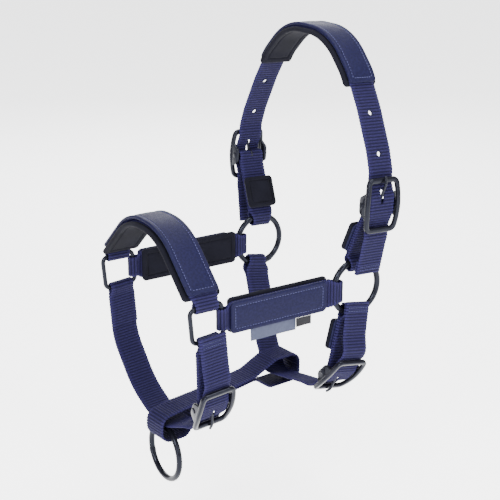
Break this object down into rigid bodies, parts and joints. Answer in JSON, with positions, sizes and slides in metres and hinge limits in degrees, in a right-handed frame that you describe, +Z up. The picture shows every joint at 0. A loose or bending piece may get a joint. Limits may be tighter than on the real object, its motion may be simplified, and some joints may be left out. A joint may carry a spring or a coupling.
{
  "type": "head halter",
  "caption": "Padded webbing head halter with buckled crown, chin and throat straps, linked side rings and a hanging lead ring under the chin.",
  "frame": {"origin": "poll: inner face of the crown padding at its highest point, in the middle between left and right", "axes": "+Z up, +X towards the animal's left, -Y towards the nose"},
  "size_m": [0.2176, 0.1992, 0.4013],
  "materials": {
    "webbing": "ribbed matte navy webbing",
    "cover_satin": "smooth satin navy fabric",
    "neoprene": "matte charcoal neoprene",
    "black_nickel": "glossy black plated steel",
    "label_weave": "plain woven label"
  },
  "bodies": {
    "crown": {"crown_pad_cover": "cover_satin", "crown_pad_lining": "neoprene", "crown_strap": "webbing", "left_crown_billet": "webbing", "left_crown_billet_cover": "cover_satin", "left_crown_billet_pad": "neoprene", "left_crown_buckle_bar": "black_nickel", "left_crown_buckle_frame": "black_nickel", "right_crown_billet": "webbing", "right_crown_billet_cover": "cover_satin", "right_crown_billet_pad": "neoprene", "right_crown_buckle_bar": "black_nickel", "right_crown_buckle_frame": "black_nickel"},
    "lower": {"chin_billet": "webbing", "chin_buckle_bar": "black_nickel", "chin_buckle_frame": "black_nickel", "chin_strap": "webbing", "connecting_strap": "webbing", "left_cheek_cover": "cover_satin", "left_cheek_lining": "neoprene", "left_cheek_strap": "webbing", "left_square_ring": "black_nickel", "noseband_cover": "cover_satin", "noseband_lining": "neoprene", "noseband_strap": "webbing", "right_cheek_cover": "cover_satin", "right_cheek_lining": "neoprene", "right_cheek_strap": "webbing", "right_square_ring": "black_nickel", "size_label": "label_weave", "throat_billet": "webbing", "throat_billet_cover": "cover_satin", "throat_billet_pad": "neoprene", "throat_buckle_bar": "black_nickel", "throat_buckle_frame": "black_nickel", "throat_strap": "webbing", "woven_label": "label_weave"},
    "left_upper_ring": {"left_upper_ring": "black_nickel"},
    "right_upper_ring": {"right_upper_ring": "black_nickel"},
    "lead_ring": {"lead_ring": "black_nickel"},
    "left_crown_tongue": {"left_crown_buckle_tongue": "black_nickel"},
    "right_crown_tongue": {"right_crown_buckle_tongue": "black_nickel"},
    "chin_tongue": {"chin_buckle_tongue": "black_nickel"},
    "throat_tongue": {"throat_buckle_tongue": "black_nickel"}
  },
  "joints": [
    {"name": "crown_fold", "type": "hinge", "parent": "crown", "child": "lower", "pos_m": [0, -0.01104, -0.21071], "axis": [1, 0, 0], "range_deg": [-10, 80]},
    {"name": "left_ring_spin", "type": "hinge", "parent": "crown", "child": "left_upper_ring", "pos_m": [0.077, -0.01104, -0.21071], "axis": [1, 0, 0], "continuous": true},
    {"name": "right_ring_spin", "type": "hinge", "parent": "crown", "child": "right_upper_ring", "pos_m": [-0.077, -0.01104, -0.21071], "axis": [1, 0, 0], "continuous": true},
    {"name": "lead_ring_swing", "type": "hinge", "parent": "lower", "child": "lead_ring", "pos_m": [-0.003, -0.16024, -0.33931], "axis": [1, 0, 0], "range_deg": [-60, 60]},
    {"name": "left_crown_tongue_lift", "type": "hinge", "parent": "crown", "child": "left_crown_tongue", "pos_m": [0.099, -0.00683, -0.13032], "axis": [0, 0.9986, -0.0523], "range_deg": [0, 8]},
    {"name": "right_crown_tongue_lift", "type": "hinge", "parent": "crown", "child": "right_crown_tongue", "pos_m": [-0.099, -0.00683, -0.13032], "axis": [0, -0.9986, 0.0523], "range_deg": [0, 8]},
    {"name": "chin_tongue_lift", "type": "hinge", "parent": "lower", "child": "chin_tongue", "pos_m": [0.0713, -0.15631, -0.28872], "axis": [0, -0.9962, -0.0872], "range_deg": [0, 8]},
    {"name": "throat_tongue_lift", "type": "hinge", "parent": "lower", "child": "throat_tongue", "pos_m": [0.0729, -0.02485, -0.289], "axis": [0, -0.9848, 0.1736], "range_deg": [0, 8]}
  ]
}
